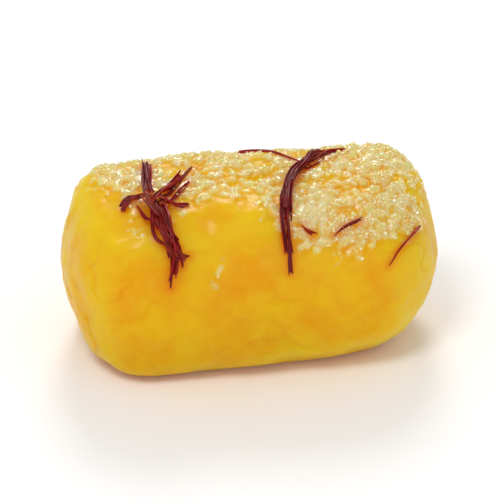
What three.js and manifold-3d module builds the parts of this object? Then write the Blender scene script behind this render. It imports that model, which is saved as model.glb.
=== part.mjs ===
// Saffron petha: one block of candied ash gourd. It is cut by hand, simmered in syrup until its edges
// soften and its faces swell, then set down to dry, which presses a flat foot under it.
// Millimetres, +Z up. The long side runs along X and the front looks along -Y.
// The origin is at the middle of the foot, on the surface that the block rests on.

import * as THREE from "three";
import { ImprovedNoise } from "three/addons/math/ImprovedNoise.js";
import { mergeVertices } from "three/addons/utils/BufferGeometryUtils.js";
import Module from "manifold-3d";

// Driving dimensions: the block as it was cut, before its corners softened.
const LENGTH = 52.5;
const WIDTH = 28.5;
const HEIGHT = 25.5;

// How sharp the edges between the cut faces stay. A high number keeps them crisp, 2 would melt them to a ball.
const EDGE_SHARPNESS = 10;

// What the drying block settles by under its own weight, which makes the foot flat.
const FOOT_SETTLE = 0.9;

// Swellings and hollows left by the simmering: how far apart they are, and how far they stand in or out.
const LUMPS = [
  { spacing: 17, height: 0.9 },
  { spacing: 7.5, height: 0.4 },
];

// The mesh's step along the faces.
const MESH_STEP = 1.55;

// The knife cuts and worn corners that bound the block. Each one faces toward a direction, and reach is
// how far out it lies, as a share of the way to the face, edge or corner of the full box on that side.
const CUTS = [
  { name: "top", toward: [0, -0.1, 1], reach: 0.93 },
  { name: "foot", toward: [0, 0, -1], reach: 1 },
  { name: "front", toward: [0, -1, 0.03], reach: 0.96 },
  { name: "back", toward: [0.05, 1, 0.06], reach: 0.92 },
  { name: "left_end", toward: [-1, -0.05, 0.06], reach: 0.975 },
  { name: "right_end", toward: [1, -0.04, 0.05], reach: 0.98 },
  { name: "front_top_edge", toward: [0, -0.75, 0.66], reach: 0.8 },
  { name: "back_top_edge", toward: [0, 0.72, 0.69], reach: 0.78 },
  { name: "front_low_edge", toward: [0.1, -0.75, -0.66], reach: 0.74 },
  { name: "back_low_edge", toward: [0, 0.75, -0.66], reach: 0.83 },
  { name: "left_top_edge", toward: [-0.8, 0, 0.6], reach: 0.93 },
  { name: "left_low_edge", toward: [-0.8, -0.1, -0.6], reach: 0.85 },
  { name: "right_top_edge", toward: [0.78, -0.1, 0.62], reach: 0.87 },
  { name: "right_low_edge", toward: [0.7, -0.1, -0.71], reach: 0.76 },
  { name: "right_shoulder", toward: [0.62, -0.6, 0.5], reach: 0.76 },
  { name: "left_front_edge", toward: [-0.7, -0.7, 0], reach: 0.85 },
  { name: "right_front_edge", toward: [0.7, -0.7, 0], reach: 0.83 },
  { name: "left_back_edge", toward: [-0.7, 0.7, 0], reach: 0.83 },
  { name: "right_back_edge", toward: [0.7, 0.7, 0], reach: 0.84 },
];

const HALF = new THREE.Vector3(LENGTH / 2, WIDTH / 2, HEIGHT / 2);
const noise = new ImprovedNoise();

// Each cut as a plane: its unit normal, and its distance from the block's middle.
const planes = CUTS.map(({ toward, reach }) => {
  const normal = new THREE.Vector3(...toward).normalize();
  const boxReach =
    Math.abs(normal.x) * HALF.x + Math.abs(normal.y) * HALF.y + Math.abs(normal.z) * HALF.z;
  return { normal, distance: reach * boxReach };
});

// How far the softened block reaches from its middle in a direction: the nearest plane, with the
// planes around it blended in so that no edge is sharp.
function reachToward(direction) {
  let sum = 0;
  for (const { normal, distance } of planes) {
    sum += Math.max(0, normal.dot(direction) / distance) ** EDGE_SHARPNESS;
  }
  return sum ** (-1 / EDGE_SHARPNESS);
}

// How far the surface stands out of its plain form at a point.
function lumpAt(point) {
  let out = 0;
  for (const { spacing, height } of LUMPS) {
    out += height * noise.noise(point.x / spacing, point.y / spacing, point.z / spacing);
  }
  return out;
}

// The softened block around the origin, from a box whose every vertex moves along its own ray.
function softenedBlock() {
  const steps = [LENGTH, WIDTH, HEIGHT].map((side) => Math.round(side / MESH_STEP));
  const box = new THREE.BoxGeometry(LENGTH, WIDTH, HEIGHT, ...steps);
  const position = box.getAttribute("position");
  const point = new THREE.Vector3();
  for (let i = 0; i < position.count; i++) {
    const direction = point.fromBufferAttribute(position, i).normalize();
    const reach = reachToward(direction);
    const lump = lumpAt(direction.clone().multiplyScalar(reach));
    point.copy(direction).multiplyScalar(reach + lump);
    position.setXYZ(i, point.x, point.y, point.z);
  }
  return box;
}

// A three.js geometry as a solid that can be cut.
function solidOf(wasm, geometry) {
  geometry.deleteAttribute("normal");
  geometry.deleteAttribute("uv");
  const merged = mergeVertices(geometry);
  const mesh = new wasm.Mesh({
    numProp: 3,
    vertProperties: merged.getAttribute("position").array,
    triVerts: new Uint32Array(merged.index.array),
  });
  return new wasm.Manifold(mesh);
}

// A cut solid back as a three.js geometry.
function geometryOf(solid) {
  const mesh = solid.getMesh();
  const geometry = new THREE.BufferGeometry();
  geometry.setAttribute("position", new THREE.BufferAttribute(mesh.vertProperties, 3));
  geometry.setIndex(new THREE.BufferAttribute(mesh.triVerts, 1));
  geometry.computeVertexNormals();
  return geometry;
}

// The softened block with its foot cut flat, standing on z = 0 with the middle of its outline at the origin.
function settledBlock(wasm) {
  const floorZ = -HEIGHT / 2 + FOOT_SETTLE;
  const below = new THREE.BoxGeometry(2 * LENGTH, 2 * WIDTH, HEIGHT);
  below.translate(0, 0, floorZ - HEIGHT / 2);
  const geometry = geometryOf(solidOf(wasm, softenedBlock()).subtract(solidOf(wasm, below)));
  geometry.computeBoundingBox();
  const middle = geometry.boundingBox.getCenter(new THREE.Vector3());
  return geometry.translate(-middle.x, -middle.y, -floorZ);
}

const wasm = await Module();
wasm.setup();

const candiedGourd = new THREE.MeshStandardMaterial({ color: 0xeab11f, roughness: 0.4, metalness: 0 });

const petha = new THREE.Mesh(settledBlock(wasm), candiedGourd);
petha.name = "petha";

const part = new THREE.Group();
part.add(petha);

export default part;
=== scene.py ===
"""The looks of one block of saffron petha: its translucent candied flesh, its sugar crust and its saffron.

Everything is in metres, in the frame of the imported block: +X along the block and +Z up. Its front faces -Y,
and the camera stands on that side.
"""

import math
from typing import NamedTuple

import bpy
import numpy as np
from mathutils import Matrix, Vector, kdtree, noise
from mathutils.bvhtree import BVHTree


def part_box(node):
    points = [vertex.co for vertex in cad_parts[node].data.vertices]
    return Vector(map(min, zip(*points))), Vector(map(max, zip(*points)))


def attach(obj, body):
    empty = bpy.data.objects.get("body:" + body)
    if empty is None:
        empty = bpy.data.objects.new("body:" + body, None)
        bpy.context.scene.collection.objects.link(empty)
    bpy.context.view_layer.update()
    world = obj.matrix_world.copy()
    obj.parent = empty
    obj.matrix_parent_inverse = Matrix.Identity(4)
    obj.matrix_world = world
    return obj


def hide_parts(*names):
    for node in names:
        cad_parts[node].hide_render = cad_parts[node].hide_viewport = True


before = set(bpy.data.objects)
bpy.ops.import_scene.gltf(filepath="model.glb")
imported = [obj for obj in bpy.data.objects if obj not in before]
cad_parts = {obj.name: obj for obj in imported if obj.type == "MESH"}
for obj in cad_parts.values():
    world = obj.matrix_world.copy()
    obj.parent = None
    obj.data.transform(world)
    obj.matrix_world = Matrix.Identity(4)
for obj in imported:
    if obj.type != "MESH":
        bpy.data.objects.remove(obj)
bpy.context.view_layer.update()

MM = 0.001
LOW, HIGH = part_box("petha")
MIDDLE = (LOW + HIGH) / 2
HALF = (HIGH - LOW) / 2

# ---------------------------------------------------------------- colours, as a screen shows them

DEEP_GOLD = (245, 174, 0)
LIGHT_GOLD = (251, 202, 7)
FIBRE_YELLOW = (255, 216, 40)
# Painted glow: a lighter yellow on the rounded edges, standing in for light shining through thin flesh.
PAINTED_EDGE_GLOW = (255, 218, 30)
# Painted glow: a deeper orange low by the foot, standing in for light coming up through the flesh.
PAINTED_FOOT_GLOW = (255, 164, 0)
STAIN_ORANGE = (232, 110, 0)
SYRUPY_SUGAR = (242, 216, 118)
DRY_SUGAR = (250, 238, 178)
SOAKED_GRAIN = (244, 218, 128)
WHITE_GRAIN = (252, 246, 216)
DEEP_CRIMSON = (124, 6, 5)
BRIGHT_CRIMSON = (182, 22, 9)
AGED_CRIMSON = (74, 4, 9)
THREAD_ORANGE = (214, 96, 12)
TABLE_WHITE = (252, 252, 252)

# ---------------------------------------------------------------- the camera, the lamps and the table

# The camera looks down at the block's front, a little from its left.
AZIMUTH = -8
ELEVATION = 29
CAMERA_DISTANCE = 0.47
VIEW_WIDTH = 1.32  # of the block's length
SENSOR = 36 * MM

# Round lamps that face the block: the way to each in degrees, how far off it is, how wide, and its watts.
LAMPS = {
    "window": {"azimuth": -40, "elevation": 60, "distance": 0.5, "size": 0.18, "power": 0.75},
    "back_window": {"azimuth": 172, "elevation": 42, "distance": 0.6, "size": 0.22, "power": 1.1},
    "front_fill": {"azimuth": 20, "elevation": 12, "distance": 0.5, "size": 0.4, "power": 0.25},
}
SKY_STRENGTH = 0.6
TABLE_HALF = 8.0

# ---------------------------------------------------------------- the flesh

# The block is remeshed coarsely, smoothed, and then each face is divided this many times.
COARSE_STEP = 1.05 * MM
SMOOTHINGS = 6
DIVISIONS = 2

# Soft dents, and the shrivelled skin over them: how far apart they are, and how deep, in mm.
DENT_SPACING = 7 * MM
DENT_DEPTH = 0.4
SHRIVEL_SPACING = 2.6 * MM
SHRIVEL_DEPTH = 0.14
SHRIVEL_UNDER_CRUST = 0.1

# Creases lie where a smooth noise changes sign, in patches, and run more along the block than across it.
CREASE_SPACING = 5 * MM
CREASE_PATCH = 9 * MM
CREASE_DEPTH = 0.3
CREASE_WIDTH = 0.045
GRAIN_OF_FLESH = np.array([0.45, 1, 1])

# The relief fades to nothing at the foot, and to a part of itself under the threads.
FOOT_FADE = 2.5 * MM
UNDER_THREADS = 0.3
THREAD_FADE = (0.3 * MM, 1.3 * MM)

# How high above the foot a painted orange glow of light reaches, and how far from a thread it is stained.
FOOT_GLOW = 4 * MM
STAIN_REACH = 0.75 * MM

# ---------------------------------------------------------------- the sugar crust

# What a place's cover adds up from: facing up, lying to the back, lying high, and noise of two sizes, which
# makes the crust's edges ragged. The crust starts at the first of the two covers and is full at the second.
FACING_UP = 0.55
TO_THE_BACK = 0.25
HIGH_UP = 0.2
RAGGED = 0.42
RAGGED_SPACING = 8 * MM
FRAYED = 0.16
FRAYED_SPACING = 2.2 * MM
CRUST_RANGE = (0.45, 1.05)

# Where it spreads further or less far, in shares of the block's half size from its middle.
CRUST_PATCHES = [
    {"at": (0.53, -0.75, 0.68), "reach": (0.38, 0.8, 0.42), "adds": 0.8},  # the right shoulder and below it
    {"at": (-0.66, 0.0, 0.8), "reach": (0.16, 0.6, 0.5), "adds": 0.35},  # left of the star
    {"at": (-1.0, -0.2, 0.8), "reach": (0.22, 1.0, 0.8), "adds": -0.6},  # the left end is bare
    {"at": (-0.26, -0.95, 0.25), "reach": (0.09, 0.4, 0.4), "adds": 0.75},  # specks right of the star
    {"at": (-0.5, 0.9, 0.55), "reach": (0.35, 0.5, 0.6), "adds": 0.45},  # the back, high on the left
    {"at": (0.9, 0.3, 0.75), "reach": (0.3, 0.6, 0.4), "adds": 0.3},  # the right end, high up
]

# It grows as angular pebbles: how far apart they are, how high in mm, the share of that by which the valleys
# between them lie below the flesh, how much the pebbles are bent out of line, and where each one's foot and
# crest are, as distances from its seed.
PEBBLE_SPACING = 1.35 * MM
PEBBLE_HEIGHT = 0.58
PEBBLE_SUNK = 0.4
PEBBLE_BEND = 0.35
PEBBLE_FOOT = 1.3
PEBBLE_CREST = 0.3

# The pebbles have their full height from this strength of crust on. Sugar starts to show, and shows in full,
# at these sums of the pebble's height and the crust's strength, so a thin crust keeps golden valleys.
CRUST_RAISED = 0.7
SUGAR_SHOWS = (0.88, 1.53)

# The grains on it: their usual half width, how much that varies, how they are stretched and skewed, and how
# far their middles stand out of the crust, in shares of that half width.
GRAINS = 4500
GRAIN_SIZE = 0.07 * MM
GRAIN_SPREAD = 0.32
GRAIN_STRETCH = (0.6, 1.25)
GRAIN_SKEW = (-0.22, 0.22)
GRAIN_RISE = (-0.1, 0.7)
GRAIN_SEED = 7

# ---------------------------------------------------------------- the saffron

# A thread is a petal rolled into a gutter: the step along it, the points across it, and how thick it is.
THREAD_STEP = 0.3 * MM
THREAD_EDGE = 6
THREAD_SKIN = 0.09 * MM

# Half its width laid flat, and how far each edge curls round in radians, where it is thinnest and widest.
THIN = 0.24 * MM
WIDE = 0.85 * MM
CURLED = 2.5
OPEN = 1.1

# How far a thread is rolled over where it starts and twisted along its length, in radians, each way, how far
# the teeth of its frill stand out, and the stretch at its start that is paler.
ROLL = 0.7
TWIST = 1.2
FRILL = (-0.2 * MM, 0.5 * MM)
PALE_STRETCH = 1.5 * MM
PALEST = 0.4

# The breadth of a thread in a bundle and of one that lies alone, as shares of a full thread's. Each thread
# of a bundle starts and ends at its own share of the bundle's length.
BREADTH = (0.75, 1.2)
LONE_BREADTH = 0.75
STARTS = (0.0, 0.14)
ENDS = (0.64, 1.0)

# Threads closer than this lie on one another, each a step higher than the one below, up to a limit. The rise
# is evened out over a stretch of this many places.
CROSSING = 0.45 * MM
PILE_STEP = 0.24 * MM
PILE_LIMIT = 1.1 * MM
PILE_EVENED = 9

# A thread strays from its bundle's places as a whole, and at each place again, by these shares of strays.
STRAYS_WHOLE = 0.6
STRAYS_AT_PLACE = 0.7
SAFFRON_SEED = 11


class Bundle(NamedTuple):
    """Threads that lie together, as a viewer sees them.

    The places that they run through are in mm, to the right of the block's middle and above it in that view,
    and the threads stray from them by about as many mm as strays says.
    """

    seen_from: tuple  # azimuth and elevation
    threads: int
    strays: float
    through: list


FRONT = (AZIMUTH, ELEVATION)
BACK = (170, 28)
RIGHT_END = (82, 20)
LEFT_END = (-98, 20)

STAR = [
    # its body, down the front
    Bundle(FRONT, 4, 0.4, [(-13.4, 7.0), (-12.0, 3.2), (-10.2, 0.0), (-11.0, -5.4)]),
    Bundle(FRONT, 10, 0.7, [(-13.0, 7.4), (-11.8, 3.4), (-10.2, 0.8), (-9.6, -2.6)]),
    # its arms: up, to the upper right, to the right and to the left
    Bundle(FRONT, 4, 0.4, [(-13.2, 5.6), (-14.0, 9.8), (-14.3, 13.9)]),
    Bundle(FRONT, 5, 0.5, [(-13.8, 5.4), (-11.4, 7.8), (-8.1, 10.9)]),
    Bundle(FRONT, 2, 0.25, [(-13.8, 6.2), (-10.4, 6.1), (-6.7, 5.5)]),
    Bundle(FRONT, 3, 0.25, [(-12.6, 6.0), (-15.8, 6.6), (-17.5, 4.3)]),
    # short threads over its heart, and a barb low on its right
    Bundle(FRONT, 3, 0.6, [(-14.4, 6.6), (-12.8, 4.0), (-10.0, 2.0)]),
    Bundle(FRONT, 2, 0.2, [(-11.6, 0.6), (-9.6, -0.6), (-7.6, -0.9)]),
]
FORK = [
    # its left branch, which lies lowest
    Bundle(FRONT, 1, 0.1, [(8.2, 11.6), (5.0, 12.8), (1.8, 13.6), (-1.1, 13.3)]),
    # its stem, over the top edge and down the front
    Bundle(FRONT, 3, 0.35, [(14.2, 14.6), (10.2, 12.8), (6.4, 9.8), (5.1, 4.6), (5.3, -2.4)]),
    Bundle(FRONT, 5, 0.5, [(11.2, 14.4), (8.8, 12.0), (6.0, 9.4), (5.0, 5.6), (5.2, -0.6)]),
    Bundle(FRONT, 2, 0.25, [(9.8, 16.8), (9.3, 13.8), (7.8, 11.0), (6.4, 9.8)]),
    Bundle(FRONT, 1, 0.0, [(5.0, 4.6), (5.2, 0.8), (5.3, -3.1)]),
]
LOOSE_ENDS = [
    Bundle(FRONT, 1, 0.0, [(11.3, 1.9), (12.8, 3.1), (14.9, 3.8)]),
    Bundle(FRONT, 1, 0.0, [(6.9, 3.3), (7.6, 2.6), (8.4, 2.0)]),
    Bundle(FRONT, 1, 0.0, [(18.7, -2.1), (20.3, 0.3), (22.6, 2.7)]),
]
BACK_AND_ENDS = [
    # a small tangle
    Bundle(BACK, 3, 0.4, [(8.2, 4.4), (9.8, 1.4), (8.6, -4.2)]),
    Bundle(BACK, 2, 0.3, [(9.2, 3.0), (6.0, 2.2), (2.2, 3.2)]),
    Bundle(BACK, 1, 0.2, [(8.4, 3.4), (12.2, 3.8), (14.8, 1.6)]),
    # loose threads
    Bundle(BACK, 1, 0.1, [(-14.8, -0.6), (-12.2, 1.8), (-9.0, 1.4)]),
    Bundle(BACK, 1, 0.0, [(-2.2, -4.4), (-1.2, -5.6), (0.6, -6.0)]),
    Bundle(RIGHT_END, 1, 0.1, [(6.4, -2.4), (8.4, -5.2), (10.8, -5.4)]),
    Bundle(LEFT_END, 2, 0.25, [(-4.0, -0.6), (-6.6, -3.4), (-9.4, -2.6)]),
]


# ---------------------------------------------------------------- numbers over many points


def smooth_step(low, high, value):
    """0 below low, 1 above high, and an even rise between them. It falls instead where low is above high."""
    share = np.clip((value - low) / (high - low), 0, 1)
    return share * share * (3 - 2 * share)


def field(points, spacing, octaves, shift):
    """Smooth noise from about -1 to 1 at each point, whose hills are about spacing apart."""
    offset = Vector((shift, 2 * shift, -shift))
    return np.array([noise.fractal(Vector(p) / spacing + offset, 1.0, 2.0, octaves) for p in points])


def push_at(place):
    """A smooth push of up to about 1 along each axis, which is the same in every run."""
    return Vector([noise.noise(place + Vector((away, 0, 0))) for away in (0, 31, 67)])


def nearest_seed(points, spacing, shift):
    """Each point's distance to the nearest of seeds scattered about spacing apart, as a share of spacing.

    It is measured along the axes of a bent space, so that what grows round the seeds is angular and uneven.
    """
    offset = Vector((shift, -shift, 2 * shift))
    places = [Vector(p) / spacing + offset for p in points]
    bent = [p + PEBBLE_BEND * push_at(1.4 * p) for p in places]
    return np.array([noise.voronoi(p, distance_metric="MANHATTAN")[0][0] for p in bent])


def tree_of(places):
    """A tree that finds the places near a point."""
    tree = kdtree.KDTree(len(places))
    for i, place in enumerate(places):
        tree.insert(place, i)
    tree.balance()
    return tree


# ---------------------------------------------------------------- meshes


def placed(name, data):
    """An object of that data in the scene."""
    made = bpy.data.objects.new(name, data)
    bpy.context.scene.collection.objects.link(made)
    return made


def mesh_object(name, points, faces, smooth):
    """A mesh object from points and faces."""
    mesh = bpy.data.meshes.new(name)
    mesh.from_pydata(points, [], faces)
    mesh.update()
    if smooth:
        mesh.shade_smooth()
    else:
        mesh.shade_flat()
    return placed(name, mesh)


def vertex_arrays(mesh):
    """The places and the normals of a mesh's vertices, as arrays of three columns."""
    places = np.empty(len(mesh.vertices) * 3, np.float32)
    normals = np.empty_like(places)
    mesh.vertices.foreach_get("co", places)
    mesh.vertices.foreach_get("normal", normals)
    return places.reshape(-1, 3).astype(float), normals.reshape(-1, 3).astype(float)


def set_attribute(mesh, name, values):
    """Keeps one number for each vertex, which a material reads by name."""
    mesh.attributes.new(name, "FLOAT", "POINT").data.foreach_set("value", np.float32(values))


def get_attribute(mesh, name):
    """The number that is kept for each vertex."""
    values = np.empty(len(mesh.vertices), np.float32)
    mesh.attributes[name].data.foreach_get("value", values)
    return values.astype(float)


# ---------------------------------------------------------------- materials as expressions


class Value:
    """A shader socket that can be used in sums with numbers and other sockets."""

    def __init__(self, shader, socket):
        self.shader = shader
        self.socket = socket

    def __add__(self, other):
        return self.shader.math("ADD", self, other)

    __radd__ = __add__

    def __sub__(self, other):
        return self.shader.math("SUBTRACT", self, other)

    def __rsub__(self, other):
        return self.shader.math("SUBTRACT", other, self)

    def __mul__(self, other):
        return self.shader.math("MULTIPLY", self, other)

    __rmul__ = __mul__


class Shader:
    """One material and its nodes."""

    def __init__(self, name):
        self.material = bpy.data.materials.new(name)
        self.material.use_nodes = True
        self.nodes = self.material.node_tree.nodes
        self.links = self.material.node_tree.links
        self.nodes.clear()

    def node(self, kind, settings=None, inputs=None, output=0):
        """Adds a node of a kind: its settings first, then the values or links of its sockets.

        Gives one of its outputs, by name or as the place among those in use, if it has any.
        """
        made = self.nodes.new("ShaderNode" + kind)
        for name, setting in (settings or {}).items():
            setattr(made, name, setting)
        for name, value in (inputs or {}).items():
            socket = made.inputs[name] if isinstance(name, int) else self.open_socket(made, name)
            if isinstance(value, Value):
                self.links.new(value.socket, socket)
            else:
                socket.default_value = value
        if isinstance(output, str):
            return Value(self, made.outputs[output])
        outputs = [socket for socket in made.outputs if socket.enabled]
        return Value(self, outputs[output]) if outputs else None

    @staticmethod
    def open_socket(made, name):
        """The input of that name which the node's settings leave in use."""
        return next(socket for socket in made.inputs if socket.name == name and socket.enabled)

    def math(self, operation, first, second):
        return self.node("Math", {"operation": operation}, {0: first, 1: second})

    def attribute(self, name):
        """The number that the mesh keeps for each vertex."""
        return self.node("Attribute", {"attribute_name": name}, output="Fac")

    def mix(self, share, first, second):
        """Blends two colours."""
        return self.node("Mix", {"data_type": "RGBA"}, {"Factor": share, "A": first, "B": second})

    def between(self, share, low, high):
        """Blends two numbers."""
        return share * (high - low) + low

    def rise(self, value, low, high):
        """0 below low, 1 above high, and an even rise between them."""
        settings = {"interpolation_type": "SMOOTHSTEP"}
        return self.node("MapRange", settings, {"Value": value, "From Min": low, "From Max": high})

    def noise(self, spacing, detail, roughness=0.5):
        """Noise from 0 to 1 in the object's own space, whose hills are about spacing apart."""
        place = self.node("TexCoord", output="Object")
        inputs = {"Vector": place, "Scale": 1 / spacing, "Detail": detail, "Roughness": roughness}
        return self.node("TexNoise", None, inputs)

    def seeds(self, spacing):
        """The distance to the nearest of scattered seeds, in the object's own space."""
        place = self.node("TexCoord", output="Object")
        return self.node("TexVoronoi", None, {"Vector": place, "Scale": 1 / spacing})

    def bump(self, height, depth):
        """A normal from a height of 0 to 1 that stands for depth."""
        return self.node("Bump", None, {"Height": height, "Distance": depth, "Strength": 1.0})

    def finish(self, inside=None, **sockets):
        """The finished material: a Principled shader with those sockets, and what fills the inside."""
        inputs = {name.replace("_", " "): value for name, value in sockets.items()}
        ends = {"Surface": self.node("BsdfPrincipled", None, inputs)}
        if inside:
            ends["Volume"] = inside
        self.node("OutputMaterial", None, ends)
        return self.material


def linear(colour):
    """A colour as a screen shows it, each part from 0 to 255, as the linear colour that shaders use."""
    shown = [part / 255 for part in colour]
    parts = [part / 12.92 if part <= 0.04045 else ((part + 0.055) / 1.055) ** 2.4 for part in shown]
    return [*parts, 1.0]


def flesh_material():
    """Golden flesh that light wanders through, under a glaze. Sugar whitens it and saffron stains it."""
    make = Shader("candied_flesh")
    frost = make.attribute("frost")
    stain = make.attribute("stain")
    cloud = make.noise(7 * MM, 5.0, 0.62)
    fibre = make.noise(1.6 * MM, 4.0, 0.6)
    gold = make.mix(make.rise(cloud, 0.3, 0.7), linear(DEEP_GOLD), linear(LIGHT_GOLD))
    gold = make.mix(make.rise(fibre, 0.45, 0.8) * 0.3, gold, linear(FIBRE_YELLOW))
    # Painted glow: the rounded edges are painted lighter yellow, standing in for light shining through them.
    gold = make.mix(make.attribute("edge") * 0.5, gold, linear(PAINTED_EDGE_GLOW))
    # Painted glow: the flesh low by the foot is painted more orange, standing in for light coming through it.
    gold = make.mix(make.attribute("foot") * 0.7, gold, linear(PAINTED_FOOT_GLOW))
    patch = make.rise(make.noise(3.5 * MM, 3.0), 0.35, 0.65)
    sugar = make.mix(patch, linear(SYRUPY_SUGAR), linear(DRY_SUGAR))
    sugared = make.mix(frost * 0.78, gold, sugar)
    crystals = frost * (1 - make.seeds(0.42 * MM)) * 0.8
    return make.finish(
        inside=make.node("VolumeAbsorption", None, {"Color": (0.99, 0.9, 0.0, 1.0), "Density": 95.0}),
        Base_Color=make.mix(stain * 0.5, sugared, linear(STAIN_ORANGE)),
        Roughness=make.between(frost, 0.34, 0.42),
        IOR=1.4,
        Specular_IOR_Level=0.1,
        Transmission_Weight=0.2,
        Subsurface_Weight=1.0,
        Subsurface_Radius=(1.0, 0.5, 0.09),
        Subsurface_Scale=9 * MM,
        Coat_Weight=make.between(frost, 0.1, 1.0),
        Coat_Roughness=0.09,
        Coat_IOR=1.5,
        Normal=make.bump(crystals + fibre * 0.35, 0.09 * MM),
    )


def sugar_material():
    """Small clear grains that look creamy in a crust, some whiter and some soaked with yellow syrup."""
    make = Shader("sugar_grains")
    colour = make.mix(make.attribute("soaked"), linear(WHITE_GRAIN), linear(SOAKED_GRAIN))
    return make.finish(Base_Color=colour, Roughness=0.15, IOR=1.54)


def saffron_material():
    """Dried crimson threads, glossy with syrup, some darker with age. They start out a little paler."""
    make = Shader("saffron_threads")
    vein = make.noise(0.5 * MM, 3.0, 0.7)
    crimson = make.mix(make.rise(vein, 0.3, 0.75), linear(DEEP_CRIMSON), linear(BRIGHT_CRIMSON))
    crimson = make.mix(make.attribute("aged") * 0.7, crimson, linear(AGED_CRIMSON))
    return make.finish(
        Base_Color=make.mix(make.attribute("pale"), crimson, linear(THREAD_ORANGE)),
        Roughness=0.38,
        IOR=1.46,
        Subsurface_Weight=0.25,
        Subsurface_Radius=(1.0, 0.2, 0.1),
        Subsurface_Scale=0.5 * MM,
        Specular_IOR_Level=0.2,
        Coat_Weight=0.25,
        Coat_Roughness=0.2,
        Normal=make.bump(vein, 0.06 * MM),
    )


def table_material():
    return Shader("pale_table").finish(Base_Color=linear(TABLE_WHITE), Roughness=0.6)


# ---------------------------------------------------------------- the skin that things lie on


def toward_viewer(azimuth, elevation):
    """The direction from the block to a viewer at that azimuth and elevation, in degrees."""
    a = math.radians(azimuth)
    e = math.radians(elevation)
    return Vector((math.sin(a) * math.cos(e), -math.cos(a) * math.cos(e), math.sin(e)))


def smooth_line(knots, step):
    """Places about a step apart on one smooth curve through the knots."""
    ends = [2 * knots[0] - knots[1], *knots, 2 * knots[-1] - knots[-2]]
    line = []
    for a, b, c, d in zip(ends, ends[1:], ends[2:], ends[3:]):
        count = max(2, round((c - b).length / step))
        for t in (i / count for i in range(count)):
            bend = (2 * a - 5 * b + 4 * c - d) * t**2 + (3 * b - a - 3 * c + d) * t**3
            line.append(b + ((c - a) * t + bend) / 2)
    return line + [knots[-1]]


class Skin:
    """The block's surface before its fine relief, and what it takes to lay threads on it."""

    def __init__(self, mesh):
        corners = [vertex.co for vertex in mesh.vertices]
        self.tree = BVHTree.FromPolygons(corners, [face.vertices for face in mesh.polygons])

    def seen(self, azimuth, elevation, right, up):
        """What a viewer sees that far right of the block's middle and above it, or the nearest to it."""
        back = toward_viewer(azimuth, elevation)
        across = Vector((math.cos(math.radians(azimuth)), math.sin(math.radians(azimuth)), 0))
        inside = MIDDLE + across * right + back.cross(across) * up
        hit = self.tree.ray_cast(inside + back * CAMERA_DISTANCE, -back)[0]
        return hit or self.tree.find_nearest(inside)[0]

    def along(self, seen_from, through):
        """Places, headings and normals on the skin, along a smooth path through what a viewer sees."""
        knots = [self.seen(*seen_from, right * MM, up * MM) for right, up in through]
        hits = [self.tree.find_nearest(place) for place in smooth_line(knots, THREAD_STEP)]
        places = [hit[0] for hit in hits]
        normals = [hit[1] for hit in hits]
        ahead = places[1:] + [2 * places[-1] - places[-2]]
        headings = [(after - here).normalized() for here, after in zip(places, ahead)]
        return list(zip(places, headings, normals))


# ---------------------------------------------------------------- making the flesh


def even_copy(node):
    """A copy of a node's mesh as even quads, smoothed and finely divided."""
    copy = placed("even_copy", node.data.copy())
    remesh = copy.modifiers.new("even", "REMESH")
    remesh.mode = "VOXEL"
    remesh.voxel_size = COARSE_STEP
    smooth = copy.modifiers.new("smooth", "SMOOTH")
    smooth.factor = 0.5
    smooth.iterations = SMOOTHINGS
    divide = copy.modifiers.new("divide", "SUBSURF")
    divide.levels = DIVISIONS
    divide.render_levels = DIVISIONS
    graph = bpy.context.evaluated_depsgraph_get()
    mesh = bpy.data.meshes.new_from_object(copy.evaluated_get(graph))
    bpy.data.objects.remove(copy)
    return mesh


def frost_at(points, normals):
    """How strong the sugar crust is at each place, from 0 to 1: most on what faces up, in ragged patches."""
    share = (points - np.array(MIDDLE)) / np.array(HALF)
    cover = FACING_UP * normals[:, 2] + TO_THE_BACK * share[:, 1] + HIGH_UP * share[:, 2]
    for patch in CRUST_PATCHES:
        away = (share - patch["at"]) / patch["reach"]
        cover += patch["adds"] * np.exp(-(away**2).sum(1))
    cover += RAGGED * field(points, RAGGED_SPACING, octaves=3, shift=4.0)
    cover += FRAYED * field(points, FRAYED_SPACING, octaves=2, shift=9.0)
    return smooth_step(*CRUST_RANGE, cover)


def creases(points):
    """How deep the flesh is creased at each place, from 0 to 1."""
    fold = field(points * GRAIN_OF_FLESH, CREASE_SPACING, octaves=2, shift=13.0)
    patch = field(points, CREASE_PATCH, octaves=1, shift=17.0)
    return smooth_step(0, 0.35, patch) * np.exp(-((fold / CREASE_WIDTH) ** 2))


def relief_at(points, frost, pebble, dent):
    """How far the surface stands out of its smooth form at each place, in mm."""
    shrivel = field(points, SHRIVEL_SPACING, octaves=2, shift=6.0)
    skin = DENT_DEPTH * dent + (SHRIVEL_DEPTH + SHRIVEL_UNDER_CRUST * frost) * shrivel
    crust = smooth_step(0, CRUST_RAISED, frost) * PEBBLE_HEIGHT * (pebble - PEBBLE_SUNK)
    return skin + crust - CREASE_DEPTH * (1 - frost) * creases(points)


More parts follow.
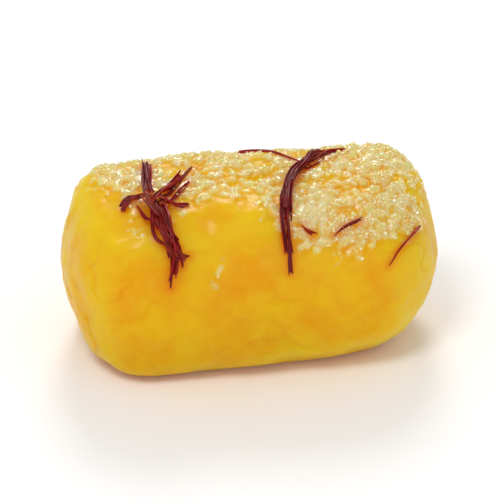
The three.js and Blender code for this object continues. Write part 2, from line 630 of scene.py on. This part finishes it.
def flesh(mesh, threads):
    """The block itself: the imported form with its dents, shrivels and crust, stained round the threads."""
    points, normals = vertex_arrays(mesh)
    tree = tree_of(threads)
    apart = np.array([tree.find(p)[2] for p in points])
    frost = frost_at(points, normals)
    pebble = smooth_step(PEBBLE_FOOT, PEBBLE_CREST, nearest_seed(points, PEBBLE_SPACING, shift=3.0))
    dent = field(points, DENT_SPACING, octaves=2, shift=1.0)
    share = smooth_step(0.0, FOOT_FADE, points[:, 2] - LOW.z)
    share *= UNDER_THREADS + (1 - UNDER_THREADS) * smooth_step(*THREAD_FADE, apart)
    points += normals * (relief_at(points, frost, pebble, dent) * share * MM)[:, None]
    points[:, 2] = np.maximum(points[:, 2], LOW.z)
    mesh.vertices.foreach_set("co", np.float32(points).ravel())
    mesh.update()
    mesh.shade_smooth()
    set_attribute(mesh, "frost", smooth_step(0, 0.2, frost) * smooth_step(*SUGAR_SHOWS, pebble + frost))
    set_attribute(mesh, "stain", np.exp(-((apart / STAIN_REACH) ** 2)))
    # Painted glow: where the faces turn round the edges, the flesh is painted lighter yellow, standing in for
    # light shining through.
    set_attribute(mesh, "edge", smooth_step(1.0, 0.74, np.abs(normals).max(1) + 0.06 * dent))
    # Painted glow: near the foot the flesh is painted more orange, over the shade where it meets the table.
    set_attribute(mesh, "foot", smooth_step(FOOT_GLOW, 0, points[:, 2] - LOW.z))
    set_attribute(mesh, "apart", apart / MM)
    mesh.materials.clear()
    mesh.materials.append(flesh_material())
    block = placed("candied_flesh", mesh)
    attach(block, "root")
    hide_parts("petha")
    return block


# ---------------------------------------------------------------- making the saffron


def opened_at(s, flared):
    """How far a thread has widened at a share s of its length, from 0 to 1.

    A flared one widens to its end, and a slim one narrows again.
    """
    return s**0.8 if flared else math.sin(math.pi * (0.1 + 0.9 * s**1.6)) ** 0.7


def thread_rings(path, breadth, flared, draw):
    """The rings of points of one thread, each round its outer face and then back round its inner one."""
    roll = draw.uniform(-ROLL, ROLL)
    twist = draw.uniform(-TWIST, TWIST)
    teeth = draw.uniform(*FRILL, THREAD_EDGE)
    widens, uncurls = (0.75, 1.0) if flared else (0.5, 0.4)
    rings = []
    for i, (place, heading, normal) in enumerate(path):
        s = i / (len(path) - 1)
        opened = opened_at(s, flared)
        curl = CURLED + (OPEN - CURLED) * opened * uncurls
        radius = breadth * (THIN + (WIDE - THIN) * opened * widens) / curl
        skin = min(THREAD_SKIN, 0.6 * radius)
        side = heading.cross(normal)
        axis = place + normal * (0.75 * radius + 0.05 * MM)  # the gutter's back is sunk in a little
        frill = heading * max(0, 6 * s - 5) * flared  # over the last sixth of the thread
        ring = []
        for r, edge in ((radius, range(THREAD_EDGE)), (radius - skin, reversed(range(THREAD_EDGE)))):
            for k in edge:
                a = curl * (2 * k / (THREAD_EDGE - 1) - 1) + roll + twist * s
                out = side * math.sin(a) - normal * math.cos(a)
                ring.append(axis + out * r + frill * teeth[k])
        rings.append(ring)
    return rings


def ring_faces(first, count):
    """The outward faces of a tube of rings, round both sides of the petal, and of its two crescent ends."""
    loop = 2 * THREAD_EDGE
    faces = []
    for i in range(count - 1):
        for k in range(loop):
            a = first + i * loop + k
            b = first + i * loop + (k + 1) % loop
            faces.append((a, a + loop, b + loop, b))
    last = first + (count - 1) * loop
    for k in range(THREAD_EDGE - 1):
        faces.append((first + k, first + k + 1, first + loop - 2 - k, first + loop - 1 - k))
        faces.append((last + k, last + loop - 1 - k, last + loop - 2 - k, last + k + 1))
    return faces


def thread_path(skin, bundle, draw):
    """The way of one thread of a bundle over the skin."""
    places = np.array(bundle.through) + draw.normal(0, STRAYS_WHOLE * bundle.strays, 2)
    places += draw.normal(0, STRAYS_AT_PLACE * bundle.strays, places.shape)
    path = skin.along(bundle.seen_from, places)
    if bundle.threads == 1:
        return path
    start = int(len(path) * draw.uniform(*STARTS))
    end = int(len(path) * draw.uniform(*ENDS))
    return path[start:end]


def heights(path, laid):
    """How high each place of a thread lies on the threads that are laid before it, evened out along it."""
    height = np.zeros(len(path))
    if laid:
        tree = tree_of([place for place, _ in laid])
        for i, (place, _, _) in enumerate(path):
            under = [laid[k][1] + PILE_STEP for _, k, _ in tree.find_range(place, CROSSING)]
            height[i] = min(max(under, default=0), PILE_LIMIT)
    window = np.hanning(PILE_EVENED)
    padded = np.pad(height, PILE_EVENED // 2, mode="edge")
    return np.convolve(padded, window / window.sum(), mode="valid")


def saffron(skin):
    """All the saffron, as one piece, and the places on the skin that its threads run through."""
    points = []
    faces = []
    pale = []
    aged = []
    laid = []
    loop = 2 * THREAD_EDGE
    for number, bundle in enumerate(STAR + FORK + LOOSE_ENDS + BACK_AND_ENDS):
        draw = np.random.default_rng([SAFFRON_SEED, number])
        for i in range(bundle.threads):
            path = thread_path(skin, bundle, draw)
            height = heights(path, laid)
            raised = [(here + normal * up, way, normal) for (here, way, normal), up in zip(path, height)]
            breadth = draw.uniform(*BREADTH) if bundle.threads > 1 else LONE_BREADTH
            rings = thread_rings(raised, breadth, i % 2 == 0, draw)
            faces += ring_faces(len(points), len(rings))
            points += [point for ring in rings for point in ring]
            fading = [max(0, 1 - step * THREAD_STEP / PALE_STRETCH) for step in range(len(rings))]
            pale += list(np.repeat(fading, loop) * PALEST)
            aged += [draw.uniform(0, 1)] * (len(rings) * loop)
            laid += [(place, up) for (place, _, _), up in zip(path, height)]
    made = mesh_object("saffron_threads", points, faces, smooth=True)
    set_attribute(made.data, "pale", pale)
    set_attribute(made.data, "aged", aged)
    made.data.materials.append(saffron_material())
    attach(made, "root")
    return [place for place, _ in laid]


# ---------------------------------------------------------------- making the sugar grains


def random_turns(draw, count):
    """As many random rotation matrices as are asked for."""
    q = draw.normal(size=(count, 4))
    w, x, y, z = (q / np.linalg.norm(q, axis=1, keepdims=True)).T
    rows = [
        [1 - 2 * (y * y + z * z), 2 * (x * y - z * w), 2 * (x * z + y * w)],
        [2 * (x * y + z * w), 1 - 2 * (x * x + z * z), 2 * (y * z - x * w)],
        [2 * (x * z - y * w), 2 * (y * z + x * w), 1 - 2 * (x * x + y * y)],
    ]
    return np.array(rows).transpose(2, 0, 1)


def grain_seats(mesh, points, draw):
    """The vertices that a grain sits on: in the crust, off the foot, and seldom under a thread."""
    chance = get_attribute(mesh, "frost") ** 1.5 * (points[:, 2] > LOW.z + 0.6 * MM)
    chance *= 0.1 + 0.9 * smooth_step(0.2, 0.6, get_attribute(mesh, "apart"))
    return draw.choice(len(points), GRAINS, replace=False, p=chance / chance.sum())


def sugar_grains(block):
    """Blunt little crystals, half sunk in the crust and clumped on its pebbles, as one piece."""
    draw = np.random.default_rng(GRAIN_SEED)
    points, normals = vertex_arrays(block.data)
    seats = grain_seats(block.data, points, draw)
    size = GRAIN_SIZE * np.exp(draw.normal(0, GRAIN_SPREAD, GRAINS))
    corner = np.array([(x, y, z) for x in (-1, 1) for y in (-1, 1) for z in (-1, 1)], float)
    shape = corner * draw.uniform(*GRAIN_STRETCH, (GRAINS, 1, 3)) + draw.uniform(*GRAIN_SKEW, (GRAINS, 8, 3))
    shape = np.einsum("nij,nkj->nki", random_turns(draw, GRAINS), shape) * size[:, None, None]
    middle = points[seats] + normals[seats] * (size * draw.uniform(*GRAIN_RISE, GRAINS))[:, None]
    places = (shape + middle[:, None]).reshape(-1, 3)
    sides = np.array([(0, 1, 3, 2), (4, 6, 7, 5), (0, 4, 5, 1), (2, 3, 7, 6), (0, 2, 6, 4), (1, 5, 7, 3)])
    faces = (sides + 8 * np.arange(GRAINS)[:, None, None]).reshape(-1, 4)
    grains = mesh_object("sugar_grains", places, faces, smooth=False)
    set_attribute(grains.data, "soaked", np.repeat(draw.uniform(0, 1, GRAINS), 8))
    grains.data.materials.append(sugar_material())
    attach(grains, "root")


# ---------------------------------------------------------------- making the stage


def aimed(name, data, azimuth, elevation, distance):
    """A camera or a lamp in that direction from the block's middle, which looks at it."""
    made = placed(name, data)
    made.location = MIDDLE + toward_viewer(azimuth, elevation) * distance
    made.rotation_mode = "QUATERNION"
    made.rotation_quaternion = (MIDDLE - made.location).to_track_quat("-Z", "Y")
    return made


def camera():
    lens = bpy.data.cameras.new("camera")
    lens.sensor_width = SENSOR / MM
    lens.lens = SENSOR / MM * CAMERA_DISTANCE / (VIEW_WIDTH * 2 * HALF.x)
    lens.clip_start = 10 * MM
    bpy.context.scene.camera = aimed("camera", lens, AZIMUTH, ELEVATION, CAMERA_DISTANCE)


def lamps():
    for name, lamp in LAMPS.items():
        light = bpy.data.lights.new(name, "AREA")
        light.shape = "DISK"
        light.size = lamp["size"]
        light.energy = lamp["power"]
        aimed(name, light, lamp["azimuth"], lamp["elevation"], lamp["distance"])


def sky():
    """An even white light from all round."""
    world = bpy.data.worlds.new("studio")
    world.use_nodes = True
    background = world.node_tree.nodes["Background"]
    background.inputs["Color"].default_value = (1.0, 1.0, 1.0, 1.0)
    background.inputs["Strength"].default_value = SKY_STRENGTH
    bpy.context.scene.world = world


def table():
    """A plain pale table, level with the block's foot."""
    corners = [(-1, -1), (1, -1), (1, 1), (-1, 1)]
    points = [Vector((x * TABLE_HALF, y * TABLE_HALF, LOW.z)) for x, y in corners]
    made = mesh_object("table", points, [(0, 1, 2, 3)], smooth=False)
    made.data.materials.append(table_material())


camera()
lamps()
sky()
table()
mesh = even_copy(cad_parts["petha"])
threads = saffron(Skin(mesh))
block = flesh(mesh, threads)
sugar_grains(block)

bpy.context.scene.view_settings.view_transform = "Standard"
